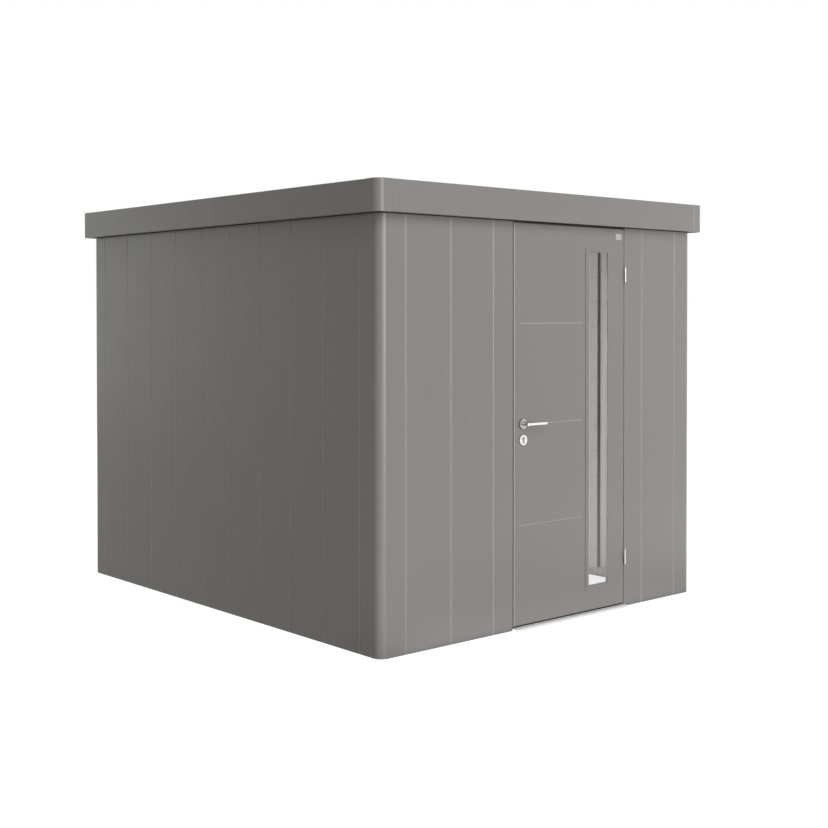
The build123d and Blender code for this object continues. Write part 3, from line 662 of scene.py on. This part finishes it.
def clear_pane(name):
    """Clear plastic with a trace of haze and faint waves."""
    material, tree, shader = new_material(name)
    place = object_place(tree)
    shader.inputs["Base Color"].default_value = PANE_TINT
    haze = map_range(tree, noise(tree, place, HAZE_SCALE, 4.0), PANE_HAZE)
    tree.links.new(haze, shader.inputs["Roughness"])
    shader.inputs["Transmission Weight"].default_value = 1.0
    shader.inputs["IOR"].default_value = PANE_IOR
    wave = bumped(tree, noise(tree, place, PANE_WAVE_SCALE, 1.0), PANE_WAVE_DEPTH)
    tree.links.new(wave, shader.inputs["Normal"])
    return material


finishes["clear_pane"] = clear_pane("clear_pane")
print("finishes by slot:", list(finishes))

# %% [markdown]
# ## A finish for every piece
# The record names a slot for each piece, and pieces of one slot could all share its finish. The
# photo shows more, though: hinges and lock plates of duller steel than the handle, and a satin
# plate at the top of the door. So each piece takes the finish of its slot, unless it has one of
# its own, and its slot in the record stays as it is.

# %% Finishes on the pieces
OWN_FINISH = {"blank_plate": satin_plate, "hinge_leaf_halves": hinge_steel,
              "hinge_frame_halves": hinge_steel, "lock_faceplate": hinge_steel,
              "strike_plate": hinge_steel, "door_rosettes": rosette_steel,
              "lever_outer": lever_steel}
for entry in frame["record"]["subparts"]:
    finish = OWN_FINISH.get(entry["node"], finishes[entry["material_slot"]])
    for slot in frame["nodes"][entry["node"]].material_slots:
        slot.material = finish
print("pieces with a finish of their own:", len(OWN_FINISH))

# %% [markdown]
# ## Smooth bends
# A bend in sheet metal is round, but it comes here as narrow facets. More facets would only make
# the file heavy. Welding the seams between the faces, splitting only the real edges and weighting
# the normals by area makes the bends read as round and keeps the flats flat.

# %% Smooth the bends
SHARP_ANGLE = math.radians(32)
WELD_GAP = 0.02 * MM
AREA_WEIGHT = 100


def soften(piece):
    """Smooth shading with crisp edges, without touching the shape."""
    for polygon in piece.data.polygons:
        polygon.use_smooth = True
    weld = piece.modifiers.new("weld", "WELD")
    weld.merge_threshold = WELD_GAP
    split = piece.modifiers.new("edges", "EDGE_SPLIT")
    split.split_angle = SHARP_ANGLE
    weights = piece.modifiers.new("weights", "WEIGHTED_NORMAL")
    weights.mode = "FACE_AREA"
    weights.weight = AREA_WEIGHT


for piece in frame["nodes"].values():
    soften(piece)
print("softened:", len(frame["nodes"]), "pieces")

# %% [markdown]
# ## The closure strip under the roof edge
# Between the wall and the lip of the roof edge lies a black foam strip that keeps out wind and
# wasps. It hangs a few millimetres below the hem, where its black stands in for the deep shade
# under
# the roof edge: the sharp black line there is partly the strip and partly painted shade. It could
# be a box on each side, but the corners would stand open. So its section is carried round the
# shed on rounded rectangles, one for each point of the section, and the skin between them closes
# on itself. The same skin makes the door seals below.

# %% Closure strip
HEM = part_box("fascia_front")[0].z
WALL_CORNER, LIP_CORNER = 48 * MM, 29 * MM
LIP_REACH = 33 * MM
CORNER_STEPS = 10
STRIP_SECTION = [(0.3, 24), (0.3, -1.2), (2.0, -2.4), (5.0, -2.6), (9.0, -1.8), (14.0, -0.4),
                 (24.0, 0.8), (32.6, 2.6), (32.6, 24)]


def add_piece(name, mesh, body, finish):
    """Put a finished mesh in the scene as a piece of the shed."""
    mesh.name = name
    piece = bpy.data.objects.new(name, mesh)
    scene.collection.objects.link(piece)
    mesh.materials.append(finish)
    soften(piece)
    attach(piece, body)
    print(name, len(mesh.polygons), "faces")


def skin_loops(loops, closed_stack=False):
    """Mesh through loops of equal length. The ends are capped, or the stack closes on itself."""
    count, rows = len(loops[0]), len(loops)
    vertices = [point for loop in loops for point in loop]
    faces = []
    for row in range(rows if closed_stack else rows - 1):
        start, after = row * count, (row + 1) % rows * count
        for index in range(count):
            following = (index + 1) % count
            faces.append((start + index, start + following, after + following, after + index))
    if not closed_stack:
        faces.append(tuple(range(count))[::-1])
        faces.append(tuple(range((rows - 1) * count, rows * count)))
    mesh = mesh_from((vertices, faces))
    bm = bmesh.new()
    bm.from_mesh(mesh)
    bmesh.ops.recalc_face_normals(bm, faces=bm.faces)
    bm.to_mesh(mesh)
    bm.free()
    return mesh


def rounded_rectangle(half_x, half_y, radius, height):
    """Points of a level rectangle with round corners, about the middle of the shed."""
    points = []
    for quarter, (sx, sy) in enumerate(((1, 1), (-1, 1), (-1, -1), (1, -1))):
        cx, cy = sx * (half_x - radius), sy * (half_y - radius)
        for step in range(CORNER_STEPS + 1):
            angle = math.pi / 2 * (quarter + step / CORNER_STEPS)
            points.append((cx + radius * math.cos(angle), cy + radius * math.sin(angle), height))
    return points


strip_loops = []
for out_mm, up_mm in STRIP_SECTION:
    out = out_mm * MM
    radius = WALL_CORNER + (LIP_CORNER - WALL_CORNER) * out / LIP_REACH
    strip_loops.append(rounded_rectangle(HALF_W + out, HALF_L + out, radius, HEM + up_mm * MM))
# Painted shade: the strip's black edge below the hem stands in for the shade under the roof edge.
add_piece("closure_strip_and_shade_line", skin_loops(strip_loops, closed_stack=True),
          "shell", black_rubber)

# %% [markdown]
# ## Door seals
# A black bulb profile runs up both posts and along the head, where the closed leaf presses on it.
# Between leaf and wall the seal shows only as a dark gap, so a plain box would nearly do, but the
# open door shows the whole profile. It is made as it comes off the roll: one section, given in
# millimetres across and proud of the post, pushed from end to end.

# %% Door seals
POST_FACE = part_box("door_post_left")[0].y
SEAL_SECTION = [(-9, 0), (9, 0), (9, 1.4), (5.5, 1.8), (4.6, 3.4), (3.0, 4.7), (0.8, 5.4),
                (-1.4, 4.7), (-3.0, 3.4), (-3.9, 1.8), (-9, 1.4)]
SEAL_INSET, SEAL_FOOT = 10 * MM, 14 * MM
SEAL_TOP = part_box("door_head_rail")[0].z + 12 * MM
HEAD_SEAL_Z = SEAL_TOP - 8 * MM


def seal_upright(x, outward):
    """Bulb profile standing on a door post. Outward is +1 or -1, the side its bulb leans to."""
    loops = []
    for height in (SEAL_FOOT, SEAL_TOP):
        loops.append([(x + outward * across * MM, POST_FACE - proud * MM, height)
                      for across, proud in SEAL_SECTION])
    return skin_loops(loops)


clear_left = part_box("door_post_left")[1].x
clear_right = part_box("door_post_right")[0].x
head_loops = [[(x, POST_FACE - proud * MM, HEAD_SEAL_Z + across * MM)
               for across, proud in SEAL_SECTION] for x in (clear_left, clear_right)]
add_piece("left_door_seal", seal_upright(clear_left - SEAL_INSET, 1),
          "shell", black_rubber)
add_piece("right_door_seal", seal_upright(clear_right + SEAL_INSET, -1),
          "shell", black_rubber)
add_piece("head_door_seal", skin_loops(head_loops), "shell", black_rubber)

# %% [markdown]
# ## The blade under the leaf
# A rubber blade under the leaf sweeps the threshold and keeps out draught. It could be drawn as
# one more seal of the frame, but it is clipped to the leaf and has to swing with it: it rides on
# the door and not on the shell. Its section hooks down a few millimetres and ends just over the
# threshold.

# %% Leaf blade
BLADE_INSET = 4 * MM
BLADE_SECTION = [(1.6, 0.3), (1.6, -2.6), (2.6, -4.4), (3.4, -5.2), (4.6, -5.2), (6.0, -2.6),
                 (9.0, -2.0), (9.0, 0.3)]
blade_loops = [[(x, FRONT + depth * MM, leaf_low.z + up * MM) for depth, up in BLADE_SECTION]
               for x in (leaf_low.x + BLADE_INSET, leaf_high.x - BLADE_INSET)]
add_piece("leaf_blade", skin_loops(blade_loops), "door", black_rubber)

# %% [markdown]
# ## One screw and one punched hole
# Every panel ends in a lip, with a row of small punched holes for hooks and shelves, and a
# hexagon screw at its foot and head. A hole could be cut into each lip, which would make hundreds
# of cuts, so it is a shallow dark cup with a fine collar that lies on the sheet: its black is
# painted shade for the dark inside of the hole. Screw and cup are turned parts: pairs of radius
# and height, in millimetres, are turned about an axis once, and used many times.

# %% Screw and punched hole
SMALL_SIDES = 12
FLATS_ANGLE = math.pi / 3


def turned(profile, sides, hex_rows=()):
    """Pattern of a part turned about its own z axis, from (radius, height) pairs.

    The rows named in hex_rows have the six flats of a bolt head instead of a round outline.
    """
    vertices, faces = [], []
    for row, (radius, height) in enumerate(profile):
        for index in range(sides):
            angle = 2 * math.pi * index / sides
            reach = radius
            if row in hex_rows:
                within = (angle + FLATS_ANGLE / 2) % FLATS_ANGLE - FLATS_ANGLE / 2
                reach = radius / math.cos(within)
            vertices.append((reach * math.cos(angle), reach * math.sin(angle), height))
    for row in range(len(profile) - 1):
        low, high = row * sides, (row + 1) * sides
        for index in range(sides):
            following = (index + 1) % sides
            faces.append((low + index, low + following, high + following, high + index))
    faces.append(tuple(range((len(profile) - 1) * sides, len(profile) * sides)))
    return vertices, faces


def in_mm(pattern):
    """The same pattern, with its numbers read as millimetres."""
    return [tuple(value * MM for value in point) for point in pattern[0]], pattern[1]


SCREW = in_mm(turned([(5.6, 0), (5.6, 0.9), (4.9, 1.2), (4.9, 1.3), (3.6, 1.35), (3.6, 4.1),
                      (3.1, 4.8)], SMALL_SIDES, hex_rows=(4, 5)))
PUNCH = in_mm(turned([(3.9, 0.0), (3.7, 0.35), (3.1, 0.4), (2.8, 0.08)], SMALL_SIDES))
print("screw:", len(SCREW[1]), "faces, punched hole:", len(PUNCH[1]), "faces")

# %% [markdown]
# ## Screws and holes along the panel lips
# The lips show through the light strip and the open door. Two lips meet at every joint of the
# panels, one on each side of it, and the wall's depth says how far in they lie. An array modifier
# could repeat a screw along one wall, but here the rows turn round corners and skip the door, so
# the places are worked out one by one, and one mesh holds all copies.

# %% Panel lips
OPENING_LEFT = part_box("strike_plate")[0].x
OPENING_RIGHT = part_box("front_panels_right")[0].x
SIDE_JOINTS, END_JOINTS = 10, 8
LIP_MIDDLE = 15 * MM
CLEAR_OF_DOOR = 40 * MM
RAIL_SCREW_HEIGHTS = (24 * MM, 2076 * MM)
RAIL_SHEET = 2 * MM
PUNCH_PITCH, PUNCH_COUNT = 151 * MM, 13
LAST_PUNCH = RAIL_SCREW_HEIGHTS[1] - 60 * MM


def facing(x, y, z, direction):
    """Matrix that stands a pattern's z axis on a point, pointing along the direction."""
    turn = Vector(direction).to_track_quat("Z", "Y").to_matrix().to_4x4()
    return Matrix.Translation((x, y, z)) @ turn


def joined(patterns):
    """Several patterns in one."""
    vertices, faces = [], []
    for more_vertices, more_faces in patterns:
        first = len(vertices)
        vertices.extend(more_vertices)
        faces.extend(tuple(first + index for index in face) for face in more_faces)
    return vertices, faces


def stamp(pattern, places):
    """One mesh holding a copy of the pattern at each place, a 4x4 matrix."""
    return mesh_from(joined(([place @ Vector(point) for point in pattern[0]], pattern[1])
                            for place in places))


lips = []
for joint in range(SIDE_JOINTS):
    for offset in (-LIP_MIDDLE, LIP_MIDDLE):
        y = -HALF_L + CORNER_LEG + PANEL_PITCH * joint + offset
        lips.append((-HALF_W + PANEL_DEPTH, y, (1, 0, 0)))
        lips.append((HALF_W - PANEL_DEPTH, y, (-1, 0, 0)))
for joint in range(END_JOINTS):
    for offset in (-LIP_MIDDLE, LIP_MIDDLE):
        x = -HALF_W + CORNER_LEG + PANEL_PITCH * joint + offset
        lips.append((x, HALF_L - PANEL_DEPTH, (0, -1, 0)))
        if x < OPENING_LEFT - CLEAR_OF_DOOR or x > OPENING_RIGHT + CLEAR_OF_DOOR:
            lips.append((x, -HALF_L + PANEL_DEPTH, (0, 1, 0)))

screw_places, punch_places = [], []
for x, y, into in lips:
    for height in RAIL_SCREW_HEIGHTS:
        on_rail = Vector((x, y, height)) + Vector(into) * RAIL_SHEET
        screw_places.append(facing(*on_rail, into))
    for index in range(1, PUNCH_COUNT + 1):
        if index * PUNCH_PITCH < LAST_PUNCH:
            punch_places.append(facing(x, y, index * PUNCH_PITCH, into))
add_piece("rail_screws", stamp(SCREW, screw_places), "shell",
          finishes["galvanised"])
# Painted shade: each hole's dark inside is a black cup on the lip.
add_piece("lip_holes", stamp(PUNCH, punch_places), "shell", black_and_hole_shade)

# %% [markdown]
# ## Roof screws
# The roof sheets are held by screws with sealing washers through the crowns of the ribs, one row
# over each purlin and one at each end. They can't stand upright at one height, because the roof
# falls to the back, so each stands on the slope of the sheets and leans with it.

# %% Roof screws
deck_low, deck_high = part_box("roof_sheets")
ROOF_FALL = 40 * MM
SHEETS, RIBS_PER_SHEET = 3, 4
SCREW_ROWS = (0.012, 0.25, 0.5, 0.75, 0.988)
SUNK_IN_CROWN = 0.1 * MM
WASHERED = in_mm(turned([(8.0, 0), (8.0, 1.6), (7.4, 2.2), (4.2, 2.4), (4.2, 7.0), (3.6, 7.8)],
                        SMALL_SIDES, hex_rows=(3, 4)))

deck_run = deck_high.y - deck_low.y
slope = ROOF_FALL / deck_run
rib_pitch = (deck_high.x - deck_low.x) / SHEETS / RIBS_PER_SHEET
roof_normal = Vector((0, slope, 1)).normalized()
roof_places = []
for share in SCREW_ROWS:
    y = deck_low.y + share * deck_run
    crown = deck_high.z - slope * share * deck_run
    for rib in range(SHEETS * RIBS_PER_SHEET):
        x = deck_low.x + (rib + 0.5) * rib_pitch
        roof_places.append(facing(x, y, crown - SUNK_IN_CROWN, roof_normal))
add_piece("roof_screws", stamp(WASHERED, roof_places), "shell",
          finishes["galvanised"])

# %% [markdown]
# ## Gaskets and lines of the rosettes
# A lock rosette sits on a thin black gasket, which draws the fine dark outline round it: partly
# the gasket and partly painted shadow where the rosette meets the leaf. The lock's rosette has a
# groove round the cylinder, drawn as a dark ring of painted shade. Both could be a dark ring in
# the material, but that would have to know where the middle of the rosette is. A thin ring of real
# faces is simpler, and it swings with the door by itself.

# %% Rosette rings
LEAF_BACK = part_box("door_back_skin")[1].y
ros_low, ros_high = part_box("door_rosettes")
LOCK_X = (ros_low.x + ros_high.x) / 2
ROSETTE_R = (ros_high.x - ros_low.x) / 2
LEVER_Z = ros_high.z - ROSETTE_R
LOCK_Z = ros_low.z + ROSETTE_R
RING_SIDES = 40
RING = [(ROSETTE_R - 1.0 * MM, 0.0), (ROSETTE_R + 0.9 * MM, 0.0),
        (ROSETTE_R + 0.7 * MM, 0.8 * MM), (ROSETTE_R - 1.0 * MM, 0.9 * MM)]
GROOVE = [(ROSETTE_R * 0.70, 0.0), (ROSETTE_R * 0.74, 0.0),
          (ROSETTE_R * 0.735, 0.22 * MM), (ROSETTE_R * 0.705, 0.22 * MM)]


def ring_pattern(profile):
    """Pattern of a closed ring: the profile's last row joins up with its first."""
    vertices, faces = turned(profile, RING_SIDES)
    last = (len(profile) - 1) * RING_SIDES
    closing = [(last + index, last + (index + 1) % RING_SIDES, (index + 1) % RING_SIDES, index)
               for index in range(RING_SIDES)]
    return vertices, faces[:-1] + closing


def both_sides(outer_y, inner_y, z):
    """Places over the lock: one on the outer side of the leaf, one on its inner side."""
    return [facing(LOCK_X, outer_y, z, (0, -1, 0)), facing(LOCK_X, inner_y, z, (0, 1, 0))]


gasket_places = both_sides(FRONT, LEAF_BACK, LEVER_Z) + both_sides(FRONT, LEAF_BACK, LOCK_Z)
# Partly a gasket, partly painted shadow round the rosette's edge.
add_piece("rosette_gaskets_and_shadow", stamp(ring_pattern(RING), gasket_places),
          "door", black_rubber)
# Painted shade: the groove round the cylinder is a dark ring.
add_piece("lock_rosette_lines",
          stamp(ring_pattern(GROOVE), both_sides(ros_low.y, ros_high.y, LOCK_Z)),
          "door", black_and_hole_shade)

# %% [markdown]
# ## Key slot
# The face of the cylinder has its key slot, with the bends that only let the right key in.
# Cutting it would need a change of the solid. A slot this small reads just as well as a dark
# shape, its black painted shade for the inside of the slot, a quarter of a millimetre proud of the
# cylinder: its outline, in millimetres, on two levels, with a face over the upper one.

# %% Key slots
cyl_low, cyl_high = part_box("lock_cylinder")
SLOT_LAYERS = (0.0, 0.25)
SLOT_OUTLINE = [(-0.9, -4.2), (0.9, -4.2), (0.9, -1.2), (1.7, -0.4), (1.7, 1.2), (0.9, 2.0),
                (0.9, 4.2), (-0.9, 4.2), (-0.9, 1.6), (-1.7, 0.8), (-1.7, -0.8), (-0.9, -1.6)]
slot_vertices = [(x, y, layer) for layer in SLOT_LAYERS for x, y in SLOT_OUTLINE]
count = len(SLOT_OUTLINE)
slot_faces = [(index, (index + 1) % count, count + (index + 1) % count, count + index)
              for index in range(count)]
slot_faces.append(tuple(range(count, 2 * count)))
# Painted shade: the key slot's dark inside is a black shape on the cylinder.
add_piece("key_slots",
          stamp(in_mm((slot_vertices, slot_faces)), both_sides(cyl_low.y, cyl_high.y, LOCK_Z)),
          "door", black_and_hole_shade)

# %% [markdown]
# ## Lever screws
# The neck of each lever is held on the spindle by a small grub screw from below. A thread would
# be lost at this size, so it is a turned part like the screws of the panels, with a six-sided
# socket. It turns with the lever, so it rides on the body of the levers.

# %% Lever screws
NECK_R = 7 * MM
GRUB_REACH = 16 * MM
GRUB = turned([(2.0 * MM, 0.0), (2.0 * MM, 0.25 * MM), (1.5 * MM, 0.3 * MM),
               (1.2 * MM, 0.05 * MM)], SMALL_SIDES, hex_rows=(3,))
grub_places = [facing(LOCK_X, y, LEVER_Z - NECK_R, (0, 0, -1))
               for y in (ros_low.y - GRUB_REACH, ros_high.y + GRUB_REACH)]
add_piece("lever_screws", stamp(GRUB, grub_places), "levers", black_and_hole_shade)

# %% [markdown]
# ## The lock plate in the leaf's edge
# The opened door shows its edge: the lock plate with the outlines of latch and bolt, which lie
# flush in it, and a countersunk screw at each end. Latch and bolt could be blocks of their own,
# but they would cross the frame when the door swings with the lever at rest. A thin dark frame
# round each, painted shade for the gap round latch and bolt, is what the eye sees of them.

# %% Lock plate
SUNK_SIDES = 16
SUNK = in_mm(turned([(4.4, 0.02), (4.2, 0.22), (2.5, 0.24), (2.3, 0.10), (0.9, 0.08)],
                    SUNK_SIDES))
LINE_WIDTH, LINE_PROUD = 0.7 * MM, 0.25 * MM
BOLT_WIDTH = 11 * MM
LATCH_Z, LATCH_HEIGHT = LEVER_Z - 4 * MM, 17 * MM
BOLT_Z, BOLT_HEIGHT = LOCK_Z - 26 * MM, 26 * MM
SCREW_INSET = 8 * MM
plate_low, plate_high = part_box("lock_faceplate")
plate_y = (plate_low.y + plate_high.y) / 2


def plate_outline(middle_z, height):
    """Pattern of a thin raised frame on the lock plate, which faces -X."""
    vertices, faces = [], []
    for grow, out in ((0.0, 0.0), (LINE_WIDTH, 0.0), (LINE_WIDTH, LINE_PROUD), (0.0, LINE_PROUD)):
        for sy, sz in ((-1, -1), (1, -1), (1, 1), (-1, 1)):
            vertices.append((plate_low.x - out, plate_y + sy * (BOLT_WIDTH / 2 + grow),
                             middle_z + sz * (height / 2 + grow)))
    for row in range(4):
        start, after = row * 4, (row + 1) % 4 * 4
        for index in range(4):
            following = (index + 1) % 4
            faces.append((start + index, start + following, after + following, after + index))
    return vertices, faces


# Painted shade: thin black frames stand in for the gaps round latch and bolt.
outlines = joined([plate_outline(LATCH_Z, LATCH_HEIGHT), plate_outline(BOLT_Z, BOLT_HEIGHT)])
add_piece("bolt_outlines", mesh_from(outlines), "door", black_and_hole_shade)
plate_screws = [facing(plate_low.x, plate_y, z, (-1, 0, 0))
                for z in (plate_low.z + SCREW_INSET, plate_high.z - SCREW_INSET)]
add_piece("plate_screws", stamp(SUNK, plate_screws), "door", finishes["steel"])

# %% [markdown]
# ## The threshold
# The aluminium threshold is screwed down with five countersunk screws and has fine ribs against
# slipping. The ribs of the real profile come out of the press with it. They could be part of the
# solid, but they are texture more than form. So they are low bars with sloping sides, pushed a
# little into the profile so that no gap shows under them.

# %% Threshold
sill_low, sill_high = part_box("threshold")
RIB_COUNT, RIB_PITCH = 5, 5 * MM
FIRST_RIB, RIB_INSET = 10 * MM, 4 * MM
RIB_SECTION = ((-0.9, -0.05), (-0.5, 0.5), (0.5, 0.5), (0.9, -0.05))
SILL_SCREW_SHARES = (0.06, 0.28, 0.5, 0.72, 0.94)

ribs = []
for rib in range(RIB_COUNT):
    y = sill_low.y + FIRST_RIB + rib * RIB_PITCH
    rib_vertices = [(x, y + across * MM, sill_high.z + up * MM)
                    for x in (sill_low.x + RIB_INSET, sill_high.x - RIB_INSET)
                    for across, up in RIB_SECTION]
    sides = [(index, (index + 1) % 4, 4 + (index + 1) % 4, 4 + index) for index in range(4)]
    ribs.append((rib_vertices, sides + [(0, 1, 2, 3), (7, 6, 5, 4)]))
add_piece("threshold_ribs", mesh_from(joined(ribs)), "shell", finishes["aluminium"])
sill_y = (FRONT + POST_FACE) / 2
sill_screws = [facing(sill_low.x + (sill_high.x - sill_low.x) * share, sill_y, sill_high.z,
                      (0, 0, 1)) for share in SILL_SCREW_SHARES]
add_piece("threshold_screws", stamp(SUNK, sill_screws), "shell", finishes["steel"])
